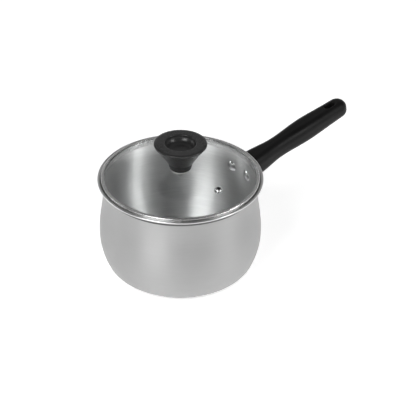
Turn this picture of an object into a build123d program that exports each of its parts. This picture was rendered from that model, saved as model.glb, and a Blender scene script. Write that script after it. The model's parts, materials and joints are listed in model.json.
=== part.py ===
from build123d import *
import math
import os

# Saucepan with a glass lid. Millimetres, +Z up, +X along the handle.
# The origin is the centre of the base's underside, where the pan stands on the hob.

# Pot, a drawn steel shell with a swelling belly
pan_inner_radius = 80.0        # at the neck: a 160 mm saucepan
pan_wall = 0.8
rim_height = 106.7             # top of the lip above the hob
belly_swell = 4.7              # belly beyond the neck
belly_height = 41.4            # widest ring above the hob
floor_inset = 16.4             # edge of the flat floor, in from the belly
floor_corner_radius = 10.7     # outside of the lower corner
neck_length = 2.0              # straight wall under the lip
lip_flare_radius = 14.0        # inside of the pouring lip's curve
lip_reach = 4.9                # middle of the rolled edge, beyond the neck's inside
lip_bead_radius = 1.25         # rolled edge of the lip

# Base, an aluminium disc bonded under the pot and capped in steel
heat_disc_thickness = 3.7
base_cap_sheet = 0.5
base_inset = 0.5               # base, in from the edge of the pot's floor
base_edge_radius = 1.6

# Saddle, the pressed steel cup that carries the handle
handle_drop = 26.1             # handle axis below the rim, at the pan's wall
handle_tilt = 11.6             # degrees above level
saddle_sheet = 1.2
saddle_length = 16.0           # from the pan's wall to the mouth, along the handle
saddle_foot_width = 36.0       # across the pan's wall
saddle_foot_depth = 27.0
saddle_mouth_width = 26.5
saddle_mouth_depth = 24.0
saddle_corner_radius = 7.0
rivet_spacing = 24.6
rivet_shank_radius = 2.5
rivet_head_radius = 6.2
rivet_head_rise = 2.4
rivet_tail_radius = 3.4
rivet_tail_rise = 1.5
rivet_tail_round = 0.75

# Tang, the steel bar welded into the saddle, and the screw that holds the grip to it
tang_width = 15.0
tang_thickness = 4.0
tang_length = 62.0             # from the pan's wall
tang_end_round = 3.75
screw_from_mouth = 30.0
screw_radius = 2.5
screw_head_radius = 4.6
screw_head_height = 2.8
screw_slot_width = 1.2
screw_slot_depth = 1.3
screw_edge_round = 0.7
screw_tip_chamfer = 0.6
screw_web = 4.0                # moulding between the tang and the screw's head

# Grip, the black moulding
grip_length = 139.7            # from the saddle's mouth to the tip
grip_root_step = 0.2           # moulding proud of the saddle's mouth, all round
grip_neck_width = 21.6
grip_neck_depth = 21.8
grip_neck_distance = 32.0      # from the root
grip_belly_width = 24.0
grip_belly_depth = 22.8
grip_belly_distance = 71.3     # from the root
grip_tip_width = 22.3
grip_tip_depth = 19.9
grip_tip_droop = 0.8           # centre line at the tip, below the handle's axis
grip_tip_fall = 0.005          # slope of that centre line at the tip
grip_tip_taper = 0.003         # slope at which the upper and lower sides close there
grip_top_round = 8.4           # softening of the upper edges
grip_bottom_round = 9.0        # softening of the lower edges
spigot_length = 5.0            # grip inside the saddle's mouth
slot_length = 14.4             # hanging slot, end to end
slot_width = 6.8
slot_from_tip = 21.1           # slot's centre to the tip
slot_edge_round = 1.1

# Lid: tempered glass, its rolled steel band and the gasket between them
glass_thickness = 3.0
glass_flat_radius = 13.0       # flat centre under the knob
glass_brim_width = 4.0         # flat edge inside the band
dome_rise = 9.1                # flat centre above the brim
band_sheet = 0.4
band_inset = 2.6               # band's outer edge, in from the crest of the lip
band_bend_radius = 0.9         # outside of each fold
band_fold_width = 2.9          # upper fold over the glass
band_leg_length = 4.8          # leg that centres the lid in the neck
gasket_sheet = 0.3

# Steam vent, an eyelet rolled through the glass over a washer
vent_circle_radius = 51.8
vent_angle = -80.0             # degrees from the handle, seen from above
vent_bore_radius = 1.5
eyelet_sheet = 0.7
eyelet_flange_radius = 3.9
eyelet_flange_rise = 1.1
eyelet_curl = 0.5              # rolled end under the washer
vent_washer_radius = 4.4
vent_washer_thickness = 0.6

# Knob and the screw stack that holds it through the glass
seal_radius = 10.6
seal_thickness = 0.6
collar_height = 7.6
collar_base_radius = 11.0
collar_top_radius = 13.2
collar_edge_round = 0.3
knob_height = 30.3             # from the glass to the top of the disc
knob_radius = 27.4
knob_foot_radius = 13.6
knob_edge_drop = 0.7           # disc's edge below its flat top
knob_edge_height = 1.3         # upright edge of the disc
knob_edge_round = 0.6
knob_flat_radius = 24.4        # where the top starts to fall to the edge
knob_cup_bulge = -0.4          # swell of the cup under the disc; less than 0 is a hollow
dish_radius = 16.2
dish_floor_radius = 8.5
dish_depth = 7.8
dish_edge_round = 1.0
insert_radius = 4.2
insert_length = 12.0
insert_collar_radius = 5.2
insert_collar_length = 2.0
knob_screw_engagement = 9.0
washer_radius = 8.0
washer_thickness = 1.0
lower_seal_radius = 9.2

# Clearances
slide_gap = 0.15               # pieces pushed together by hand
hole_gap = 0.3                 # screws and eyelets in plain holes
thread_gap = 0.05              # screws in their threads, drawn plain
seat_gap = 0.2                 # lid's band above the curve of the lip
leg_gap = 1.0                  # lid's leg inside the neck, to lift off freely

# Working allowances
drill_length = 24.0            # passes through any wall that is drilled
blank_overrun = 1.0            # blanks run this far past the faces that trim them
wall_allowance = 12.0          # blanks of the handle start this far inside the pan's wall
pick_margin = 0.1              # for finding edges by their place

# Pot heights and radii worked out from the above
floor_bottom = base_cap_sheet + heat_disc_thickness
neck_radius = pan_inner_radius + pan_wall
belly_radius = neck_radius + belly_swell
floor_radius = belly_radius - floor_inset
base_radius = floor_radius - base_inset
lip_sweep = math.acos((lip_flare_radius - lip_reach) / (lip_flare_radius - lip_bead_radius))
lip_rise = (lip_flare_radius - lip_bead_radius) * math.sin(lip_sweep)
flare_height = rim_height - lip_bead_radius - lip_rise
neck_height = flare_height - neck_length
lip_centre_radius = pan_inner_radius + lip_flare_radius
lip_bead_place = pan_inner_radius + lip_reach
handle_height = rim_height - handle_drop

# The wall closes from the belly to the neck in two equal arcs, one each way
closing_rise = neck_height - belly_height
closing_angle = 2 * math.atan(belly_swell / closing_rise)
closing_radius = closing_rise / 2 / math.sin(closing_angle)


def pan_radius_at(height):
    """Outer radius of the wall between the neck and the middle of the closing curve."""
    below_neck = neck_height - height
    return neck_radius + closing_radius - math.sqrt(closing_radius**2 - below_neck**2)


def turned(face):
    """Solid turned about the pan's axis from a face drawn as radius and height."""
    return revolve(Plane.XZ * face, Axis.Z)


def sheet_face(line, thickness, side):
    """Section of sheet metal with one surface along the line."""
    return make_face(offset(line, amount=thickness, side=side, closed=True))


def ring(inner, outer, low, high):
    """Flat ring about the Z axis."""
    height = high - low
    blank = Cylinder(outer, height, align=(Align.CENTER, Align.CENTER, Align.MIN))
    hole = Cylinder(inner, height, align=(Align.CENTER, Align.CENTER, Align.MIN))
    return Pos(0, 0, low) * (blank - hole)


def belly_edges(growth):
    """Outer line of the pot from its floor to the flare, moved outward by growth."""
    neck = neck_radius + growth
    belly = belly_radius + growth
    corner = floor_corner_radius + growth
    corner_height = floor_bottom + floor_corner_radius
    reach = belly - floor_radius
    rise = belly_height - corner_height
    lower = (reach**2 + rise**2 - corner**2) / (2 * (reach - corner))
    turn = math.atan2(rise, lower - reach)
    join = (belly - lower + lower * math.cos(turn), belly_height - lower * math.sin(turn))
    middle = ((neck + belly) / 2, (neck_height + belly_height) / 2)
    floor_end = (floor_radius, floor_bottom - growth)
    return [
        Line((0, floor_bottom - growth), floor_end),
        TangentArc(floor_end, join, tangent=(1, 0)),
        TangentArc((belly, belly_height), join, tangent=(0, -1)),
        TangentArc((belly, belly_height), middle, tangent=(0, 1)),
        TangentArc((neck, neck_height), middle, tangent=(0, -1)),
        Line((neck, neck_height), (neck, flare_height)),
    ]


def pot_outside(growth):
    """Everything inside the pot's outer surface, moved outward by growth."""
    edges = belly_edges(growth)
    top_corner = (neck_radius + growth, flare_height)
    edges.append(Line(top_corner, (0, flare_height)))
    edges.append(Line((0, flare_height), (0, floor_bottom - growth)))
    return turned(make_face(Wire([edge.edge() for edge in edges])))


def make_pot_shell():
    flare_outside = lip_flare_radius - pan_wall
    flare_centre = (lip_centre_radius, flare_height)
    flare = CenterArc(flare_centre, flare_outside, 180, -math.degrees(lip_sweep))
    outline = Wire([edge.edge() for edge in belly_edges(0) + [flare]])
    shell = turned(sheet_face(outline, pan_wall, Side.LEFT))
    bead = Pos(lip_bead_place, rim_height - lip_bead_radius) * Circle(lip_bead_radius)
    shell = shell + turned(bead)
    for place in rivet_places():
        shell = shell - place * Cylinder(rivet_shank_radius, drill_length)
    return shell


def make_base_cap():
    outline = FilletPolyline(
        (0, 0), (base_radius, 0), (base_radius, floor_bottom), radius=base_edge_radius
    )
    return turned(sheet_face(outline, base_cap_sheet, Side.LEFT))


def make_heat_disc():
    radius = base_radius - base_cap_sheet
    disc = Cylinder(radius, heat_disc_thickness, align=(Align.CENTER, Align.CENTER, Align.MIN))
    lower_edge = disc.edges().filter_by(GeomType.CIRCLE).sort_by(Axis.Z)[0]
    disc = fillet(lower_edge, base_edge_radius - base_cap_sheet)
    return Pos(0, 0, base_cap_sheet) * disc


# Handle pieces are drawn with X along the handle from the pan's wall, then tilted into place
handle_place = Pos(pan_radius_at(handle_height), 0, handle_height) * Rot(0, -handle_tilt, 0)
grip_start = saddle_length
grip_end = grip_start + grip_length
slot_centre = grip_end - slot_from_tip
handle_screw_distance = grip_start + screw_from_mouth
screw_seat_depth = tang_thickness / 2 + slide_gap + screw_web
grip_root_width = saddle_mouth_width + 2 * grip_root_step
grip_root_depth = saddle_mouth_depth + 2 * grip_root_step


def saddle_horn(inset):
    """Horn from the pan's wall to the saddle's mouth, with its sides moved in by inset."""
    corner = saddle_corner_radius - inset
    share = wall_allowance / saddle_length
    foot_width = saddle_foot_width + share * (saddle_foot_width - saddle_mouth_width)
    foot_depth = saddle_foot_depth + share * (saddle_foot_depth - saddle_mouth_depth)
    foot = RectangleRounded(foot_width - 2 * inset, foot_depth - 2 * inset, corner)
    mouth = RectangleRounded(saddle_mouth_width - 2 * inset, saddle_mouth_depth - 2 * inset, corner)
    foot_plane = Plane((-wall_allowance, 0, 0), x_dir=(0, 1, 0), z_dir=(1, 0, 0))
    mouth_plane = Plane((saddle_length, 0, 0), x_dir=(0, 1, 0), z_dir=(1, 0, 0))
    return loft([foot_plane * foot, mouth_plane * mouth], ruled=True)


def rivet_places():
    """The rivets' places on the wall, with Z pointing out along the wall's normal."""
    height = handle_height
    lean = math.degrees(math.asin((neck_height - height) / closing_radius))
    radius = pan_radius_at(height)
    places = []
    for side in (1, -1):
        turn = math.degrees(math.asin(side * rivet_spacing / 2 / radius))
        places.append(Rot(0, 0, turn) * Pos(radius, 0, height) * Rot(0, 90 - lean, 0))
    return places


def make_saddle():
    cup = handle_place * saddle_horn(0) - pot_outside(0)
    hollow = handle_place * saddle_horn(saddle_sheet) - pot_outside(saddle_sheet)
    cup = cup - hollow
    for place in rivet_places():
        cup = cup - place * Cylinder(rivet_shank_radius, drill_length)
    return cup


def make_rivet(place):
    """Domed head inside the pot, shank through both sheets, upset tail in the saddle."""
    deep = -pan_wall / 2
    crown = (0, -pan_wall - rivet_head_rise)
    head_face = make_face(
        [
            TangentArc(crown, (rivet_head_radius, -pan_wall), tangent=(1, 0)).edge(),
            Line(crown, (0, deep)),
            Line((0, deep), (rivet_head_radius, deep)),
            Line((rivet_head_radius, deep), (rivet_head_radius, -pan_wall)),
        ]
    )
    head = place * turned(head_face) - make_pot_shell()
    tail_height = saddle_sheet + rivet_tail_rise
    tail = Cylinder(rivet_tail_radius, tail_height, align=(Align.CENTER, Align.CENTER, Align.MIN))
    tail_edge = tail.edges().filter_by(GeomType.CIRCLE).sort_by(Axis.Z)[-1]
    tail = fillet(tail_edge, rivet_tail_round)
    tail = place * tail - pot_outside(saddle_sheet)
    shank_start = -pan_wall - rivet_head_rise / 2
    shank_length = saddle_sheet + rivet_tail_rise / 2 - shank_start
    shank = Cylinder(
        rivet_shank_radius, shank_length, align=(Align.CENTER, Align.CENTER, Align.MIN)
    )
    return head + place * Pos(0, 0, shank_start) * shank + tail


def make_tang():
    length = tang_length + wall_allowance
    bar = Pos(tang_length - length / 2, 0, 0) * Box(length, tang_width, tang_thickness)
    end_edges = bar.edges().filter_by(Axis.Z).sort_by(Axis.X)[-2:]
    bar = fillet(end_edges, tang_end_round)
    hole = Cylinder(screw_radius + thread_gap, drill_length)
    bar = bar - Pos(handle_screw_distance, 0, 0) * hole
    return handle_place * bar - pot_outside(saddle_sheet)


def grip_plan():
    """Outline of the grip seen from above, with a full round tip."""
    neck = grip_start + grip_neck_distance
    belly = grip_start + grip_belly_distance
    tip_radius = grip_tip_width / 2
    tip_start = grip_end - tip_radius
    side = Spline(
        (grip_start, grip_root_width / 2),
        (neck, grip_neck_width / 2),
        (belly, grip_belly_width / 2),
        (tip_start, tip_radius),
        tangents=[(1, 0), (1, 0)],
    )
    tip = ThreePointArc((tip_start, tip_radius), (grip_end, 0), (tip_start, -tip_radius))
    other_side = mirror(side, about=Plane.XZ)
    root = Line((grip_start, -grip_root_width / 2), (grip_start, grip_root_width / 2))
    return make_face([side.edge(), tip.edge(), other_side.edge(), root.edge()])


def grip_profile():
    """Outline of the grip seen from the side, drawn past the tip."""
    neck = grip_start + grip_neck_distance
    belly = grip_start + grip_belly_distance
    end = grip_end + blank_overrun
    lines = []
    for side in (1, -1):
        lines.append(
            Spline(
                (grip_start, side * grip_root_depth / 2),
                (neck, side * grip_neck_depth / 2),
                (belly, side * grip_belly_depth / 2),
                (end, side * grip_tip_depth / 2 - grip_tip_droop),
                tangents=[(1, 0), (1, -side * grip_tip_taper - grip_tip_fall)],
            )
        )
    lines.append(
        Line((end, grip_tip_depth / 2 - grip_tip_droop), (end, -grip_tip_depth / 2 - grip_tip_droop))
    )
    lines.append(Line((grip_start, grip_root_depth / 2), (grip_start, -grip_root_depth / 2)))
    return make_face([line.edge() for line in lines])


def grip_blank():
    """Grip without its holes: plan and side outlines crossed, then softened all round."""
    plan = extrude(grip_plan(), amount=grip_root_depth, both=True)
    profile = extrude(Plane.XZ * grip_profile(), amount=grip_root_width, both=True)
    grip = plan & profile
    for side, softening in ((1, grip_top_round), (-1, grip_bottom_round)):
        edges = grip.edges().filter_by(
            lambda edge: side * edge.center().Z > 0 and edge.bounding_box().size.X > pick_margin
        )
        grip = fillet(edges, softening)
    return grip


def make_grip():
    """Moulding with a spigot in the saddle, a socket for the tang and a hanging slot."""
    mouth_inset = saddle_sheet + slide_gap
    spigot_section = RectangleRounded(
        saddle_mouth_width - 2 * mouth_inset,
        saddle_mouth_depth - 2 * mouth_inset,
        saddle_corner_radius - mouth_inset,
    )
    spigot_plane = Plane((grip_start - spigot_length, 0, 0), x_dir=(0, 1, 0), z_dir=(1, 0, 0))
    grip = grip_blank() + extrude(spigot_plane * spigot_section, amount=spigot_length)

    slot_face = Pos(slot_centre, 0) * SlotOverall(slot_length, slot_width)
    slot = extrude(slot_face, amount=grip_belly_depth, both=True)
    grip = grip - slot
    mouth_edges = grip.edges().filter_by(
        lambda edge: abs(edge.center().X - slot_centre) < slot_length / 2
        and abs(edge.center().Y) < slot_width / 2 + pick_margin
        and edge.bounding_box().size.Z < slot_width / 2
    )
    grip = fillet(mouth_edges, slot_edge_round)

    socket_length = tang_length + hole_gap
    socket_size = (tang_width + 2 * slide_gap, tang_thickness + 2 * slide_gap)
    grip = grip - Pos(socket_length / 2, 0, 0) * Box(socket_length, *socket_size)
    screw_place = Pos(handle_screw_distance, 0, 0)
    hole = Cylinder(
        screw_radius + hole_gap, grip_root_depth, align=(Align.CENTER, Align.CENTER, Align.MAX)
    )
    recess = Pos(0, 0, -screw_seat_depth) * Cylinder(
        screw_head_radius + hole_gap,
        grip_root_depth,
        align=(Align.CENTER, Align.CENTER, Align.MAX),
    )
    return handle_place * (grip - screw_place * hole - screw_place * recess)


def make_screw(length):
    """Cheese-head screw with its head below Z = 0 and its shank standing on it."""
    head = Cylinder(
        screw_head_radius, screw_head_height, align=(Align.CENTER, Align.CENTER, Align.MAX)
    )
    rim = head.edges().filter_by(GeomType.CIRCLE).sort_by(Axis.Z)[0]
    head = fillet(rim, screw_edge_round)
    cut = Box(
        screw_slot_width,
        2 * screw_head_radius,
        screw_slot_depth,
        align=(Align.CENTER, Align.CENTER, Align.MIN),
    )
    head = head - Pos(0, 0, -screw_head_height) * cut
    shank = Cylinder(screw_radius, length, align=(Align.CENTER, Align.CENTER, Align.MIN))
    tip = shank.edges().filter_by(GeomType.CIRCLE).sort_by(Axis.Z)[-1]
    return head + chamfer(tip, screw_tip_chamfer)


def make_handle_screw():
    length = screw_seat_depth + tang_thickness / 2
    place = handle_place * Pos(handle_screw_distance, 0, -screw_seat_depth)
    return place * make_screw(length)


# The lid's band rests on the curve of the lip: its lower outer bend sets the seat's height
band_outer_radius = lip_bead_place - band_inset
band_leg_radius = pan_inner_radius - leg_gap
bend_offset = lip_centre_radius - (band_outer_radius - band_bend_radius)
bend_distance = lip_flare_radius + band_bend_radius + seat_gap
bend_height = flare_height + math.sqrt(bend_distance**2 - bend_offset**2)
band_bottom = bend_height - band_bend_radius
brim_bottom = band_bottom + band_sheet + gasket_sheet
brim_top = brim_bottom + glass_thickness
band_top = brim_top + gasket_sheet + band_sheet
glass_edge_radius = band_outer_radius - band_sheet - gasket_sheet
dome_start_radius = glass_edge_radius - glass_brim_width
glass_top = brim_top + dome_rise
glass_bottom = glass_top - glass_thickness

# The dome is part of a sphere centred on the pan's axis
dome_edge_depth = (dome_start_radius**2 - glass_flat_radius**2 - dome_rise**2) / (2 * dome_rise)
dome_radius = math.hypot(dome_start_radius, dome_edge_depth)
dome_centre = brim_top - dome_edge_depth

# The eyelet stands square on the dome
vent_slope = math.degrees(math.asin(vent_circle_radius / dome_radius))
vent_place = (
    Rot(0, 0, vent_angle)
    * Pos(0, 0, dome_centre)
    * Rot(0, vent_slope, 0)
    * Pos(0, 0, dome_radius)
)
eyelet_radius = vent_bore_radius + eyelet_sheet


def glass_blank():
    flat_slope = math.degrees(math.acos(glass_flat_radius / dome_radius))
    brim_slope = math.degrees(math.acos(dome_start_radius / dome_radius))
    top_line = [
        Line((0, glass_top), (glass_flat_radius, glass_top)),
        CenterArc((0, dome_centre), dome_radius, flat_slope, brim_slope - flat_slope),
        Line((dome_start_radius, brim_top), (glass_edge_radius, brim_top)),
    ]
    outline = Wire([edge.edge() for edge in top_line])
    return turned(sheet_face(outline, glass_thickness, Side.RIGHT))


def make_glass():
    screw_hole = Pos(0, 0, glass_top) * Cylinder(screw_radius + hole_gap, drill_length)
    vent_hole = vent_place * Cylinder(eyelet_radius + hole_gap, drill_length)
    return glass_blank() - screw_hole - vent_hole


def make_band():
    """Steel band: a leg down into the neck, a flange over the lip and a fold over the glass."""
    outline = FilletPolyline(
        (band_leg_radius, band_bottom - band_leg_length),
        (band_leg_radius, band_bottom),
        (band_outer_radius, band_bottom),
        (band_outer_radius, band_top),
        (band_outer_radius - band_fold_width, band_top),
        radius=band_bend_radius,
    )
    return turned(sheet_face(outline, band_sheet, Side.LEFT))


def make_gasket():
    """Channel of soft plastic round the glass's edge."""
    inner = band_outer_radius - band_fold_width
    outline = Polyline(
        (inner, brim_bottom),
        (glass_edge_radius, brim_bottom),
        (glass_edge_radius, brim_top),
        (inner, brim_top),
    )
    section = offset(outline, amount=gasket_sheet, side=Side.RIGHT, closed=True, kind=Kind.INTERSECTION)
    corner = band_bend_radius - band_sheet
    channel = turned(make_face(section))
    outer_edges = channel.edges().filter_by(
        lambda edge: edge.geom_type == GeomType.CIRCLE
        and edge.radius > glass_edge_radius + gasket_sheet / 2
    )
    return fillet(outer_edges, corner)


def make_eyelet():
    """Rolled eyelet, its flange seated on the dome and its end curled under the washer."""
    under = glass_thickness + vent_washer_thickness
    outline = [
        Line((vent_bore_radius, -under - eyelet_curl), (eyelet_flange_radius, -under - eyelet_curl)),
        Line((eyelet_flange_radius, -under - eyelet_curl), (eyelet_flange_radius, -under)),
        Line((eyelet_flange_radius, -under), (eyelet_radius, -under)),
        Line((eyelet_radius, -under), (eyelet_radius, 0)),
        Line((eyelet_radius, 0), (eyelet_flange_radius, 0)),
        ThreePointArc(
            (eyelet_flange_radius, 0),
            ((eyelet_flange_radius + vent_bore_radius) / 2, eyelet_flange_rise),
            (vent_bore_radius, 0),
        ),
        Line((vent_bore_radius, 0), (vent_bore_radius, -under - eyelet_curl)),
    ]
    return vent_place * turned(make_face([edge.edge() for edge in outline])) - make_glass()


def make_vent_washer():
    low = -glass_thickness - vent_washer_thickness
    washer = ring(eyelet_radius, vent_washer_radius, low, -glass_thickness)
    return vent_place * washer - glass_blank()


# Knob stack, from the glass up and down
seal_top = glass_top + seal_thickness
collar_top = seal_top + collar_height
knob_top = glass_top + knob_height
lower_seal_bottom = glass_bottom - seal_thickness
washer_bottom = lower_seal_bottom - washer_thickness


def make_top_seal():
    return ring(screw_radius + hole_gap, seal_radius, glass_top, seal_top)


def make_collar():
    """Tapered ring that keeps the knob's foot off the hot glass."""
    hole = screw_radius + hole_gap
    section = Polyline(
        (hole, seal_top),
        (collar_base_radius, seal_top),
        (collar_top_radius, collar_top),
        (hole, collar_top),
        close=True,
    )
    collar = turned(make_face(section))
    rims = collar.edges().filter_by(
        lambda edge: edge.geom_type == GeomType.CIRCLE and edge.radius > screw_head_radius
    )
    return fillet(rims, collar_edge_round)


def make_knob():
    """Black knob: a cup on a narrow foot under a thin disc with a dished top."""
    edge_top = knob_top - knob_edge_drop
    edge_bottom = edge_top - knob_edge_height
    dish_floor = knob_top - dish_depth
    cup_middle = (
        (knob_foot_radius + knob_radius) / 2 + knob_cup_bulge,
        (collar_top + edge_bottom) / 2 - knob_cup_bulge,
    )
    outline = [
        Line((0, collar_top), (knob_foot_radius, collar_top)),
        ThreePointArc((knob_foot_radius, collar_top), cup_middle, (knob_radius, edge_bottom)),
        Line((knob_radius, edge_bottom), (knob_radius, edge_top)),
        TangentArc((knob_flat_radius, knob_top), (knob_radius, edge_top), tangent=(1, 0)),
        Line((knob_flat_radius, knob_top), (dish_radius, knob_top)),
        TangentArc((dish_floor_radius, dish_floor), (dish_radius, knob_top), tangent=(1, 0)),
        Line((dish_floor_radius, dish_floor), (0, dish_floor)),
        Line((0, dish_floor), (0, collar_top)),
    ]
    knob = turned(make_face([edge.edge() for edge in outline]))
    circles = knob.edges().filter_by(GeomType.CIRCLE)
    edge_rims = circles.filter_by(lambda edge: abs(edge.radius - knob_radius) < pick_margin)
    knob = fillet(edge_rims, knob_edge_round)
    circles = knob.edges().filter_by(GeomType.CIRCLE)
    dish_rim = circles.filter_by(
        lambda edge: abs(edge.radius - dish_radius) < pick_margin
        and abs(edge.center().Z - knob_top) < pick_margin
    )
    knob = fillet(dish_rim, dish_edge_round)
    return knob - insert_blank()


def insert_blank():
    """Outside of the brass insert: a barrel with a collar at its inner end."""
    inner_end = collar_top + insert_length
    barrel = ring(0, insert_radius, collar_top, inner_end)
    return barrel + ring(0, insert_collar_radius, inner_end - insert_collar_length, inner_end)


def make_insert():
    hole = Cylinder(
        screw_radius + thread_gap, insert_length, align=(Align.CENTER, Align.CENTER, Align.MIN)
    )
    return insert_blank() - Pos(0, 0, collar_top) * hole


def make_lower_seal():
    return ring(screw_radius + hole_gap, lower_seal_radius, lower_seal_bottom, glass_bottom)


def make_knob_washer():
    return ring(screw_radius + hole_gap, washer_radius, washer_bottom, lower_seal_bottom)


def make_knob_screw():
    length = collar_top + knob_screw_engagement - washer_bottom
    return Pos(0, 0, washer_bottom) * make_screw(length)


left_place, right_place = rivet_places()
pieces = {
    "pot_shell": make_pot_shell(),
    "base_heat_disc": make_heat_disc(),
    "base_cap": make_base_cap(),
    "handle_saddle": make_saddle(),
    "handle_tang": make_tang(),
    "handle_rivet_left": make_rivet(left_place),
    "handle_rivet_right": make_rivet(right_place),
    "handle_grip": make_grip(),
    "handle_screw": make_handle_screw(),
    "lid_glass": make_glass(),
    "lid_band": make_band(),
    "lid_gasket": make_gasket(),
    "vent_eyelet": make_eyelet(),
    "vent_washer": make_vent_washer(),
    "knob_top_seal": make_top_seal(),
    "knob_collar": make_collar(),
    "lid_knob": make_knob(),
    "knob_insert": make_insert(),
    "knob_lower_seal": make_lower_seal(),
    "knob_washer": make_knob_washer(),
    "knob_screw": make_knob_screw(),
}

os.makedirs("parts", exist_ok=True)
for name, solid in pieces.items():
    export_step(solid, f"parts/{name}.step")
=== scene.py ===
import functools
import json
import math

import bmesh
import bpy
from bpy.props import FloatProperty, FloatVectorProperty, IntProperty, PointerProperty
from mathutils import Matrix, Vector


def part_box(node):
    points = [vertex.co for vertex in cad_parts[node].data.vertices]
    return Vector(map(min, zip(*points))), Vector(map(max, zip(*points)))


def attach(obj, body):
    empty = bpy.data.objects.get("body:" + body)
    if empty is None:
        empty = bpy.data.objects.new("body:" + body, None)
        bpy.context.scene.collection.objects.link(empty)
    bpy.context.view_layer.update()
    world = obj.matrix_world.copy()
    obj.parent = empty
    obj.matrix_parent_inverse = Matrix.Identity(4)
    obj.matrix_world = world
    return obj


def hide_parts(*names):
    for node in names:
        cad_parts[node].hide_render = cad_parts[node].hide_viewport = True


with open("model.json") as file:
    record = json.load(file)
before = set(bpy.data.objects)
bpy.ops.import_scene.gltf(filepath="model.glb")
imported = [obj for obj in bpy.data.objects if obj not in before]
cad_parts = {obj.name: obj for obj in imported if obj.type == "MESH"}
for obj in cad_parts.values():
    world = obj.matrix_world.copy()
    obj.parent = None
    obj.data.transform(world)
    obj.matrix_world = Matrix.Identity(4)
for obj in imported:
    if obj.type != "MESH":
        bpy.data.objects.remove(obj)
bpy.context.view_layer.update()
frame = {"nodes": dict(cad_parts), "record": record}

bl_info = {
    "name": "Saucepan with glass lid",
    "version": (1, 0, 0),
    "blender": (4, 5, 0),
    "location": "3D View > Sidebar > Saucepan",
    "description": "Brushed steel pan, black moulded handle and knob, banded glass lid and a small studio",
    "category": "Object",
}

MM = 0.001
LIP_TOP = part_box("pot_shell")[1].z
DISC_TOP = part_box("base_heat_disc")[1].z    # also the underside of the pot's floor
BAND_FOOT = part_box("lid_band")[0].z         # the band's leg ends here, inside the neck
CREASE_FOOT = BAND_FOOT - 2 * MM            # the painted shade in the crease under the lip starts here
LIP_FOOT = BAND_FOOT + 3 * MM               # the brushed neck ends and the polished lip starts here
SEAM = 1e-6                                 # a turned node's seam lies this near to the plane Y = 0
SMOOTH_ANGLE = math.radians(32)             # edges sharper than this stay sharp
NOISE_LOW, NOISE_HIGH = 0.3, 0.7            # most of a noise texture's values lie between these
WALLS_END, ROOM_START = 0.24, 0.38          # sines of the elevations between which walls fade to room


# Settings

def slot_colour(name):
    """Base colour of a material slot in the record, as red, green, blue."""
    for entry in frame["record"]["materials"]:
        if entry["slot"] == name:
            return tuple(entry["base_color"][:3])
    raise ValueError(f"the record has no material slot named {name}")


def grey(level):
    """Neutral colour."""
    return (level, level, level)


def colour(name, description, default):
    """Colour that a user can change."""
    return FloatVectorProperty(
        name=name, description=description, default=default, subtype="COLOR", min=0.0, max=1.0
    )


def share(name, description, default):
    """Number from 0 to 1 that a user can change."""
    return FloatProperty(
        name=name, description=description, default=default, subtype="FACTOR", min=0.0, max=1.0
    )


def length(name, description, default):
    """Length in metres that a user can change."""
    return FloatProperty(
        name=name, description=description, default=default, unit="LENGTH", min=0.0
    )


def angle(name, description, default):
    """Angle that a user can change, its default given in degrees."""
    return FloatProperty(
        name=name, description=description, default=math.radians(default), subtype="ANGLE"
    )


def power(name, description, default):
    """Power of a lamp in watts that a user can change."""
    return FloatProperty(
        name=name, description=description, default=default, unit="POWER", min=0.0
    )


class PanFinish(bpy.types.PropertyGroup):
    """Steel of the pan: its brushing, lip and base."""

    inside: colour("Inside", "Colour of the brushed inside", grey(0.66))
    # Outside: the inside's steel tone, made darker as painted shade
    outside: colour("Outside", "Colour of the brushed outside", grey(0.40))
    lip: colour("Lip", "Colour of the polished lip", grey(0.64))
    # Crease: near-black steel that paints the shade under the lip
    crease: colour("Crease", "Colour of the painted shade in the crease under the lip", grey(0.12))
    # The base's near-black colour is painted shade along the pan's bottom edge
    base: colour("Base", "Colour of the turned base", grey(0.12))
    inside_roughness: share("Inside roughness", "How soft the inside's reflections are", 0.46)
    outside_roughness: share("Outside roughness", "How soft the outside's reflections are", 0.42)
    lip_roughness: share("Lip roughness", "How soft the lip's reflections are", 0.30)
    crease_roughness: share("Crease roughness", "How soft the crease's reflections are", 0.50)
    base_roughness: share("Base roughness", "How soft the base's reflections are", 0.36)
    inside_brushing: share("Inside brushing", "How much smoother along the lines than across", 1.0)
    outside_brushing: share("Outside brushing", "How much smoother along the lines than across", 0.8)
    inside_contrast: share("Inside contrast", "How far the brush lines inside differ in tone", 0.05)
    outside_contrast: share("Outside contrast", "How far the brush lines outside differ in tone", 0.012)
    line_spacing: length("Line spacing", "Between the coarser brush lines", 1.6 * MM)
    line_depth: length("Line depth", "Depth of the brush lines", 0.0005 * MM)
    ring_spacing: length("Ring spacing", "Between the rings turned in the base", 0.6 * MM)
    segments: IntProperty(name="Segments", description="Flats round the pot", default=256, min=32)


class HandleFinish(bpy.types.PropertyGroup):
    """Black moulding of the grip and steel of its fixings."""

    moulding: colour("Moulding", "Colour of the black grip", grey(0.006))
    roughness: share("Roughness", "How soft the grip's reflections are", 0.40)
    gloss: share("Gloss", "How bright the grip's reflections are", 0.14)
    grain: length("Grain", "Size of the moulded grain", 0.5 * MM)
    grain_depth: length("Grain depth", "Depth of the moulded grain", 0.01 * MM)
    saddle: colour("Saddle", "Colour of the pressed steel saddle", grey(0.50))
    rivets: colour("Rivets", "Colour of the polished rivets", grey(0.85))


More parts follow.
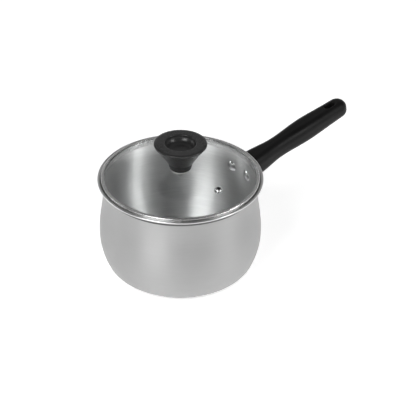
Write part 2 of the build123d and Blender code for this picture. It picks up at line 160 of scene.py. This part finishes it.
class LidFinish(bpy.types.PropertyGroup):
    """Glass, band, vent and knob of the lid."""

    glass: colour("Glass", "Tint of the tempered glass", (0.97, 0.985, 0.98))
    band: colour("Band", "Colour of the rolled band", grey(0.68))
    band_roughness: share("Band roughness", "How soft the band's reflections are", 0.26)
    gasket: colour("Gasket", "Colour of the soft edging", slot_colour("gasket_grey"))
    # The bore's near-black colour is painted shade in the hole; its dullness is real roughness
    vent_bore_shade: colour("Vent bore", "Colour of the dull bore of the vent", grey(0.04))
    knob: colour("Knob", "Colour of the black knob and its collar", grey(0.02))
    knob_roughness: share("Knob roughness", "How soft the knob's reflections are", 0.30)
    knob_gloss: share("Knob gloss", "How bright the knob's reflections are", 0.40)
    knob_grain: length("Knob grain", "Size of the moulded grain of the knob", 0.5 * MM)
    collar_roughness: share("Collar roughness", "How soft the collar's reflections are", 0.50)
    collar_gloss: share("Collar gloss", "How bright the collar's reflections are", 0.20)
    collar_grain: length("Collar grain", "Size of the moulded grain of the collar", 0.4 * MM)
    grain_depth: length("Grain depth", "Depth of the moulded grain", 0.008 * MM)
    seal: colour("Seals", "Colour of the silicone seals", slot_colour("seal_clear"))


class StudioSettings(bpy.types.PropertyGroup):
    """Camera, lights and floor."""

    lens: FloatProperty(
        name="Lens", description="Focal length in mm", default=116.6, min=1.0, unit="CAMERA"
    )
    sensor: FloatProperty(
        name="Sensor", description="Width of the sensor in mm", default=36.0, min=1.0, unit="CAMERA"
    )
    distance: length("Camera distance", "From the aim point to the camera", 1.4173)
    elevation: angle("Camera elevation", "Camera above the horizon", 33.76)
    handle_turn: angle("Handle turn", "Handle turned back from the view's right side", 38.3)
    aim_drop: length("Aim below the lip", "Aim point on the pan's axis", 39.67 * MM)
    side_turn: angle("Side turn", "Camera turned off the axis, towards the handle", 1.17)
    floor: colour("Floor", "Colour of the plain floor", grey(0.93))
    floor_reach: length("Floor reach", "From the pan's axis to the floor's edges", 6.0)
    glow: share("Glow", "Light that comes up through the floor, as on a lit table", 0.6)
    key_power: power("Key", "Bright softbox, front left", 15.0)
    spark_power: power("Spark", "Small softbox far left, for the highlights on small parts", 1.4)
    strip_power: power("Strip", "Narrow softbox on the right", 7.5)
    back_power: power("Back", "Softbox behind the pan", 2.6)
    room: share("Room", "Brightness of the room overhead", 0.03)
    walls: share("Walls", "Brightness of the pale walls round the floor", 1.0)


# Materials

def node(tree, kind, inputs=None, **settings):
    """Adds a shader node, with its settings, values and links by socket name or number."""
    made = tree.nodes.new(kind)
    for key, value in settings.items():
        setattr(made, key, value)
    for key, value in (inputs or {}).items():
        if isinstance(value, bpy.types.NodeSocket):
            tree.links.new(value, made.inputs[key])
        else:
            made.inputs[key].default_value = value
    return made


def math_node(tree, operation, *values):
    """Result of a sum on numbers."""
    return node(tree, "ShaderNodeMath", dict(enumerate(values)), operation=operation).outputs[0]


def vector_node(tree, operation, *values, result="Vector", **named):
    """Result of a sum on vectors."""
    inputs = dict(enumerate(values)) | named
    return node(tree, "ShaderNodeVectorMath", inputs, operation=operation).outputs[result]


def noise(tree, place, scale=1.0, detail=3.0, roughness=0.6):
    """Soft noise, with scale features to each unit of the place's coordinates."""
    made = node(
        tree,
        "ShaderNodeTexNoise",
        {"Vector": place, "Scale": scale, "Detail": detail, "Roughness": roughness},
    )
    return made.outputs["Fac"]


def spread(tree, value, low, high):
    """Maps a noise value to a range."""
    made = node(
        tree,
        "ShaderNodeMapRange",
        {"Value": value, "From Min": NOISE_LOW, "From Max": NOISE_HIGH, "To Min": low, "To Max": high},
    )
    return made.outputs["Result"]


def shaded(tree, base, factor):
    """Base colour made lighter and darker by a factor near 1."""
    return vector_node(tree, "SCALE", tuple(base), Scale=factor)


def bump(tree, height, depth):
    """Normal of a surface with fine relief."""
    made = node(tree, "ShaderNodeBump", {"Height": height, "Strength": 1.0, "Distance": depth})
    return made.outputs["Normal"]


def new_material(name, **values):
    """Material with a principled shader whose constant values are set on its sockets."""
    material = bpy.data.materials.new(name)
    material.use_nodes = True
    shader = material.node_tree.nodes["Principled BSDF"]
    for key, value in values.items():
        shader.inputs[key.replace("_", " ")].default_value = value
    return material, material.node_tree, shader


def connect(tree, shader, **outputs):
    """Links outputs to the shader's sockets of the same names."""
    for key, output in outputs.items():
        tree.links.new(output, shader.inputs[key.replace("_", " ")])


def object_place(tree):
    """Coordinates on a piece, in metres."""
    return node(tree, "ShaderNodeTexCoord").outputs["Object"]


def turned_place(tree, breaks, spacing):
    """Coordinates for lines round the pan's axis, by their breaks to a radian and their spacing."""
    flat = vector_node(tree, "MULTIPLY", object_place(tree), (1, 1, 0))
    radius = vector_node(tree, "LENGTH", flat, result="Value")
    direction = vector_node(tree, "NORMALIZE", flat)
    height = node(tree, "ShaderNodeSeparateXYZ", {0: object_place(tree)}).outputs["Z"]
    track = math_node(tree, "DIVIDE", math_node(tree, "ADD", radius, height), spacing)
    along = vector_node(tree, "SCALE", direction, Scale=breaks)
    across = node(tree, "ShaderNodeCombineXYZ", {"Z": track}).outputs[0]
    return vector_node(tree, "ADD", along, across)


def brushed_steel(name, base, roughness, brushing, contrast, spacing, depth):
    """Steel brushed round the pan: fine and coarse lines, with soft patches of wear."""
    line_wear, patch_wear = 0.008, 0.012
    material, tree, shader = new_material(
        name, Metallic=1.0, Anisotropic=brushing, Anisotropic_Rotation=0.25
    )
    fine = noise(tree, turned_place(tree, breaks=7.0, spacing=spacing / 4), detail=2.0)
    coarse = noise(tree, turned_place(tree, breaks=2.5, spacing=spacing))
    patches = noise(tree, object_place(tree), scale=22.0)
    lines = math_node(
        tree,
        "MULTIPLY",
        spread(tree, fine, 1 - contrast, 1 + contrast),
        spread(tree, coarse, 1 - contrast, 1 + contrast),
    )
    worn = math_node(
        tree,
        "ADD",
        spread(tree, coarse, -line_wear, line_wear),
        spread(tree, patches, -patch_wear, patch_wear),
    )
    connect(
        tree,
        shader,
        Base_Color=shaded(tree, base, lines),
        Roughness=math_node(tree, "ADD", worn, roughness),
        Normal=bump(tree, fine, depth),
        Tangent=node(tree, "ShaderNodeTangent", direction_type="RADIAL", axis="Z").outputs[0],
    )
    return material


def bright_metal(name, base, roughness, wear=0.03):
    """Polished metal with faint handling marks; wear is how far they change its roughness."""
    smoothest = 0.02
    material, tree, shader = new_material(name, Metallic=1.0)
    place = object_place(tree)
    marks = noise(tree, place, scale=260.0, detail=5.0, roughness=0.7)
    haze = noise(tree, place, scale=45.0, detail=2.0)
    connect(
        tree,
        shader,
        Base_Color=shaded(tree, base, spread(tree, haze, 0.95, 1.04)),
        Roughness=spread(tree, marks, max(roughness - wear, smoothest), roughness + wear),
        Normal=bump(tree, marks, depth=0.0004 * MM),
    )
    return material


def turned_metal(name, base, roughness, spacing):
    """Metal with the rings that a lathe tool leaves."""
    wear = 0.06
    material, tree, shader = new_material(name, Metallic=1.0)
    rings = noise(tree, turned_place(tree, breaks=0.6, spacing=spacing))
    connect(
        tree,
        shader,
        Base_Color=shaded(tree, base, spread(tree, rings, 0.88, 1.06)),
        Roughness=spread(tree, rings, roughness - wear, roughness + wear),
        Normal=bump(tree, rings, depth=0.01 * MM),
    )
    return material


def moulded_black(name, base, roughness, gloss, grain, depth):
    """Black thermoset with a fine moulded grain and slightly polished patches from handling."""
    wear = 0.05
    material, tree, shader = new_material(name, Specular_IOR_Level=gloss)
    place = object_place(tree)
    texture = noise(tree, place, scale=1 / grain, roughness=0.55)
    cloud = noise(tree, place, scale=28.0)
    worn = math_node(
        tree, "ADD", spread(tree, cloud, -wear, wear), spread(tree, texture, -wear, wear)
    )
    connect(
        tree,
        shader,
        Base_Color=shaded(tree, base, spread(tree, cloud, 0.8, 1.25)),
        Roughness=math_node(tree, "ADD", worn, roughness),
        Normal=bump(tree, texture, depth),
    )
    return material


def soft_plastic(name, base, roughness, clearness=0.0):
    """Soft plastic or silicone with a matt, slightly uneven skin."""
    wear = 0.05
    material, tree, shader = new_material(name, Transmission_Weight=clearness)
    place = object_place(tree)
    cloud = noise(tree, place, scale=90.0)
    connect(
        tree,
        shader,
        Base_Color=shaded(tree, base, spread(tree, cloud, 0.92, 1.06)),
        Roughness=spread(tree, cloud, roughness - wear, roughness + wear),
        Normal=bump(tree, noise(tree, place, scale=900.0), depth=0.01 * MM),
    )
    return material


def clear_glass(name, tint):
    """Clear tempered glass with a faint film left by washing, and without a dark shadow."""
    material, tree, shader = new_material(name, IOR=1.47, Transmission_Weight=1.0)
    film = noise(tree, object_place(tree), scale=30.0, detail=4.0)
    connect(
        tree,
        shader,
        Base_Color=shaded(tree, tint, spread(tree, film, 0.985, 1.0)),
        Roughness=spread(tree, film, 0.0, 0.012),
    )
    clear = node(tree, "ShaderNodeBsdfTransparent")
    path = node(tree, "ShaderNodeLightPath")
    mix = node(
        tree,
        "ShaderNodeMixShader",
        {0: path.outputs["Is Shadow Ray"], 1: shader.outputs[0], 2: clear.outputs[0]},
    )
    tree.links.new(mix.outputs[0], tree.nodes["Material Output"].inputs["Surface"])
    return material


# Pieces

def dress(material, *names):
    """Gives CAD nodes a material."""
    for name in names:
        mesh = frame["nodes"][name].data
        mesh.materials.clear()
        mesh.materials.append(material)


def merged_copy(cad_node):
    """Copy of a CAD node's mesh with its loose triangles joined."""
    piece = bmesh.new()
    piece.from_mesh(frame["nodes"][cad_node].data)
    bmesh.ops.remove_doubles(piece, verts=piece.verts, dist=SEAM)
    return piece


def turned_piece(segments, name, cad_node, body, materials, choose):
    """Spins the seam line of a turned CAD node into a clean piece that replaces the node."""
    piece = merged_copy(cad_node)
    elsewhere = [v for v in piece.verts if abs(v.co.y) > SEAM or v.co.x < 0]
    bmesh.ops.delete(piece, geom=elsewhere, context="VERTS")
    bmesh.ops.delete(piece, geom=piece.faces[:], context="FACES_ONLY")
    if not piece.edges:
        raise RuntimeError(f"{cad_node} has no seam on the plane Y = 0")
    bmesh.ops.spin(
        piece,
        geom=piece.verts[:] + piece.edges[:],
        cent=(0, 0, 0),
        axis=(0, 0, 1),
        angle=math.tau,
        steps=segments,
        use_merge=True,
        use_duplicate=False,
    )
    bmesh.ops.remove_doubles(piece, verts=piece.verts, dist=SEAM)
    return replacement(piece, name, cad_node, body, materials, choose)


def copied_piece(name, cad_node, body, materials, choose):
    """Copy of a CAD node that replaces it, with a material chosen for each of its faces."""
    piece = merged_copy(cad_node)
    return replacement(piece, name, cad_node, body, materials, choose)


def replacement(piece, name, cad_node, body, materials, choose):
    """Turns a closed bmesh into an object that rides on a body in place of a CAD node."""
    bmesh.ops.recalc_face_normals(piece, faces=piece.faces[:])
    for face in piece.faces:
        face.smooth = True
        face.material_index = choose(face)
    mesh = bpy.data.meshes.new(name)
    piece.to_mesh(mesh)
    piece.free()
    mesh.set_sharp_from_angle(angle=SMOOTH_ANGLE)
    for material in materials:
        mesh.materials.append(material)
    made = bpy.data.objects.new(name, mesh)
    bpy.context.scene.collection.objects.link(made)
    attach(made, body)
    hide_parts(cad_node)
    return made


def outward(face):
    """How far a face looks away from the axis, from -1 to 1."""
    middle = face.calc_center_median()
    return Vector((middle.x, middle.y, 0)).normalized().dot(face.normal)


def pot_zone(face):
    """Number of the pot's material on a face: 0 inside, 1 outside, 2 lip, 3 painted shade in the crease
    under the lip.
    """
    height = face.calc_center_median().z
    looks_out = outward(face)
    looks_down = face.normal.z < -0.25
    looks_up = face.normal.z > 0.9
    # Faces under the lip get the painted shade of the crease
    if height > CREASE_FOOT and looks_down and looks_out > -0.2:
        return 3
    if height > LIP_FOOT:
        return 2
    inner = looks_out < 0 or looks_up and height > DISC_TOP
    return 0 if inner else 1


# Stage

def view_of(settings):
    """Level directions to the view's right and away from the camera, and the aim point."""
    turn = settings.handle_turn
    right = Vector((math.cos(turn), -math.sin(turn), 0))
    away = Vector((math.sin(turn), math.cos(turn), 0))
    aim = Vector((0, 0, LIP_TOP - settings.aim_drop))
    return right, away, aim


def add_camera(scene, settings):
    """Camera that looks down on the pan, turned a little off its axis."""
    right, away, aim = view_of(settings)
    forward = away * math.cos(settings.elevation) - Vector((0, 0, math.sin(settings.elevation)))
    up = right.cross(forward)
    facing = Matrix.Rotation(-settings.side_turn, 3, up) @ forward
    sideways = facing.cross(up).normalized()
    upward = sideways.cross(facing)
    data = bpy.data.cameras.new("camera")
    data.lens = settings.lens
    data.sensor_width = settings.sensor
    camera = bpy.data.objects.new("camera", data)
    camera.location = aim - forward * settings.distance
    camera.rotation_euler = Matrix((sideways, upward, -facing)).transposed().to_euler()
    scene.collection.objects.link(camera)
    scene.camera = camera


def glowing_paper(base, glow):
    """Pale matt paper over a lit table."""
    material, tree, shader = new_material(
        "floor paper", Roughness=0.7, Emission_Color=(1, 1, 1, 1), Emission_Strength=glow
    )
    cloud = noise(tree, object_place(tree), scale=3.0)
    connect(tree, shader, Base_Color=shaded(tree, base, spread(tree, cloud, 0.99, 1.01)))
    return material


def add_floor(scene, settings):
    """Plain level floor under the pan."""
    sheet = bmesh.new()
    bmesh.ops.create_grid(sheet, x_segments=1, y_segments=1, size=settings.floor_reach)
    mesh = bpy.data.meshes.new("floor")
    sheet.to_mesh(mesh)
    sheet.free()
    mesh.materials.append(glowing_paper(settings.floor, settings.glow))
    floor = bpy.data.objects.new("floor", mesh)
    scene.collection.objects.link(floor)


def add_softbox(scene, settings, name, watts, side, rise, distance, width, height):
    """Rectangular lamp turned towards the pan, which the camera doesn't see.

    Its side and rise are seen from the pan: degrees to the right of the camera, and above the floor.
    """
    right, away, aim = view_of(settings)
    side, rise = math.radians(side), math.radians(rise)
    level = right * math.sin(side) - away * math.cos(side)
    place = aim + distance * (level * math.cos(rise) + Vector((0, 0, math.sin(rise))))
    light = bpy.data.lights.new(name, "AREA")
    light.shape = "RECTANGLE"
    light.size = width
    light.size_y = height
    light.energy = watts
    lamp = bpy.data.objects.new(name, light)
    lamp.location = place
    lamp.rotation_euler = (aim - place).to_track_quat("-Z", "Y").to_euler()
    lamp.visible_camera = False
    scene.collection.objects.link(lamp)


def add_room(scene, settings):
    """Pale walls low down all round, which fade into a dim room overhead."""
    world = bpy.data.worlds.new("room")
    world.use_nodes = True
    tree = world.node_tree
    direction = node(tree, "ShaderNodeTexCoord").outputs["Generated"]
    steepness = node(tree, "ShaderNodeSeparateXYZ", {0: direction}).outputs["Z"]
    brightness = node(
        tree,
        "ShaderNodeMapRange",
        {
            "Value": steepness,
            "From Min": WALLS_END,
            "From Max": ROOM_START,
            "To Min": settings.walls,
            "To Max": settings.room,
        },
        interpolation_type="SMOOTHSTEP",
    )
    background = tree.nodes["Background"]
    background.inputs["Color"].default_value = (1, 1, 1, 1)
    tree.links.new(brightness.outputs["Result"], background.inputs["Strength"])
    scene.world = world


# Operators

class SAUCEPAN_OT_studio(bpy.types.Operator):
    """Camera, floor, softboxes and room"""

    bl_idname = "saucepan.studio"
    bl_label = "Studio"

    def execute(self, context):
        scene = context.scene
        settings = scene.saucepan_studio
        add_camera(scene, settings)
        add_floor(scene, settings)
        softbox = functools.partial(add_softbox, scene, settings)
        softbox(
            "key softbox", settings.key_power, side=-36, rise=40, distance=1.6, width=0.75, height=0.9
        )
        softbox(
            "spark softbox", settings.spark_power, side=-98, rise=19, distance=1.6, width=0.35, height=0.3
        )
        softbox(
            "strip softbox", settings.strip_power, side=69, rise=38, distance=1.6, width=0.4, height=0.8
        )
        softbox(
            "back softbox", settings.back_power, side=180, rise=44, distance=1.8, width=1.8, height=1.7
        )
        add_room(scene, settings)
        scene.view_settings.view_transform = "Standard"
        return {"FINISHED"}


class SAUCEPAN_OT_pot(bpy.types.Operator):
    """Brushed pot with its polished lip, and the base under it"""

    bl_idname = "saucepan.pot"
    bl_label = "Pot and base"

    def execute(self, context):
        finish = context.scene.saucepan_pan
        inside = brushed_steel(
            "inside steel",
            finish.inside,
            finish.inside_roughness,
            finish.inside_brushing,
            finish.inside_contrast,
            finish.line_spacing,
            finish.line_depth,
        )
        # Same steel as inside, its own tone darkened as painted shade
        outside = brushed_steel(
            "outside steel with painted shade",
            finish.outside,
            finish.outside_roughness,
            finish.outside_brushing,
            finish.outside_contrast,
            finish.line_spacing,
            finish.line_depth,
        )
        lip = bright_metal("lip steel", finish.lip, finish.lip_roughness)
        # Dark steel under the lip, as painted shade
        crease = bright_metal(
            "painted shade in the crease under the lip", finish.crease, finish.crease_roughness
        )
        zones = (inside, outside, lip, crease)
        turned_piece(finish.segments, "pot", "pot_shell", "pan", zones, pot_zone)
        # The turned base is darkened as painted shade
        base = turned_metal(
            "turned base steel with painted shade", finish.base, finish.base_roughness, finish.ring_spacing
        )
        dress(base, "base_cap")
        aluminium = slot_colour("base_aluminium")
        disc = turned_metal("aluminium", aluminium, roughness=0.45, spacing=0.4 * MM)
        dress(disc, "base_heat_disc")
        return {"FINISHED"}


class SAUCEPAN_OT_handle(bpy.types.Operator):
    """Black grip with its saddle, tang, rivets and screw"""

    bl_idname = "saucepan.handle"
    bl_label = "Handle"

    def execute(self, context):
        finish = context.scene.saucepan_handle
        black = moulded_black(
            "grip moulding",
            finish.moulding,
            finish.roughness,
            finish.gloss,
            finish.grain,
            finish.grain_depth,
        )
        dress(black, "handle_grip")
        pressed = bright_metal("saddle steel", finish.saddle, roughness=0.34, wear=0.05)
        dress(pressed, "handle_saddle", "handle_tang")
        polished = bright_metal("rivet steel", finish.rivets, roughness=0.10)
        dress(polished, "handle_rivet_left", "handle_rivet_right")
        screw = bright_metal("screw steel", slot_colour("screw_steel"), roughness=0.24)
        dress(screw, "handle_screw")
        return {"FINISHED"}


class SAUCEPAN_OT_lid(bpy.types.Operator):
    """Glass with its gasket, rolled band and steam vent"""

    bl_idname = "saucepan.lid"
    bl_label = "Lid"

    def execute(self, context):
        finish = context.scene.saucepan_lid
        dress(clear_glass("clear glass", finish.glass), "lid_glass")
        dress(soft_plastic("gasket", finish.gasket, roughness=0.5), "lid_gasket")
        dress(bright_metal("band steel", finish.band, finish.band_roughness), "lid_band")
        bright = bright_metal("eyelet steel", slot_colour("eyelet_steel"), roughness=0.14)
        # Rough steel, darkened as painted shade, for the vent's bore
        dull_and_shaded = turned_metal("vent bore with painted shade", finish.vent_bore_shade, roughness=0.6, spacing=0.3 * MM)
        low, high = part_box("vent_eyelet")
        middle = (low + high) / 2
        bore_reach = (high.x - low.x) / 4

        def in_bore(face):
            """Number of the vent's material on a face: 1 in its bore, painted dark as shade, 0 elsewhere.
            """
            out = face.calc_center_median() - middle
            out.z = 0
            return 1 if out.length < bore_reach and out.dot(face.normal) < 0 else 0

        copied_piece("vent", "vent_eyelet", "lid", (bright, dull_and_shaded), in_bore)
        dress(bright, "vent_washer")
        return {"FINISHED"}


class SAUCEPAN_OT_knob(bpy.types.Operator):
    """Dished knob on its collar, with the seals, insert, washer and screw that hold it"""

    bl_idname = "saucepan.knob"
    bl_label = "Knob"

    def execute(self, context):
        finish = context.scene.saucepan_lid
        black = moulded_black(
            "knob moulding",
            finish.knob,
            finish.knob_roughness,
            finish.knob_gloss,
            finish.knob_grain,
            finish.grain_depth,
        )
        dress(black, "lid_knob")
        collar = moulded_black(
            "collar moulding",
            finish.knob,
            finish.collar_roughness,
            finish.collar_gloss,
            finish.collar_grain,
            finish.grain_depth,
        )
        dress(collar, "knob_collar")
        silicone = soft_plastic("silicone", finish.seal, roughness=0.45, clearness=0.4)
        dress(silicone, "knob_top_seal", "knob_lower_seal")
        brass = turned_metal("brass", slot_colour("insert_brass"), roughness=0.3, spacing=0.4 * MM)
        dress(brass, "knob_insert")
        plated = bright_metal("plated steel", slot_colour("screw_steel"), roughness=0.22)
        dress(plated, "knob_washer", "knob_screw")
        return {"FINISHED"}


class SAUCEPAN_PT_sidebar(bpy.types.Panel):
    """Lists the pieces, the stage and their settings"""

    bl_idname = "SAUCEPAN_PT_sidebar"
    bl_label = "Saucepan"
    bl_space_type = "VIEW_3D"
    bl_region_type = "UI"
    bl_category = "Saucepan"

    def draw(self, context):
        for operator in OPERATORS:
            self.layout.operator(operator.bl_idname)
        for name, group in GROUPS.items():
            settings = getattr(context.scene, name)
            box = self.layout.box()
            box.label(text=group.__doc__)
            for setting in group.__annotations__:
                box.prop(settings, setting)


OPERATORS = (
    SAUCEPAN_OT_studio,
    SAUCEPAN_OT_pot,
    SAUCEPAN_OT_handle,
    SAUCEPAN_OT_lid,
    SAUCEPAN_OT_knob,
)
GROUPS = {
    "saucepan_pan": PanFinish,
    "saucepan_handle": HandleFinish,
    "saucepan_lid": LidFinish,
    "saucepan_studio": StudioSettings,
}
CLASSES = (*GROUPS.values(), *OPERATORS, SAUCEPAN_PT_sidebar)


def register():
    for made in CLASSES:
        bpy.utils.register_class(made)
    for name, group in GROUPS.items():
        setattr(bpy.types.Scene, name, PointerProperty(type=group))


def unregister():
    for name in GROUPS:
        delattr(bpy.types.Scene, name)
    for made in reversed(CLASSES):
        bpy.utils.unregister_class(made)


def main():
    register()
    bpy.ops.saucepan.studio()
    bpy.ops.saucepan.pot()
    bpy.ops.saucepan.handle()
    bpy.ops.saucepan.lid()
    bpy.ops.saucepan.knob()


if __name__ == "__main__":
    main()
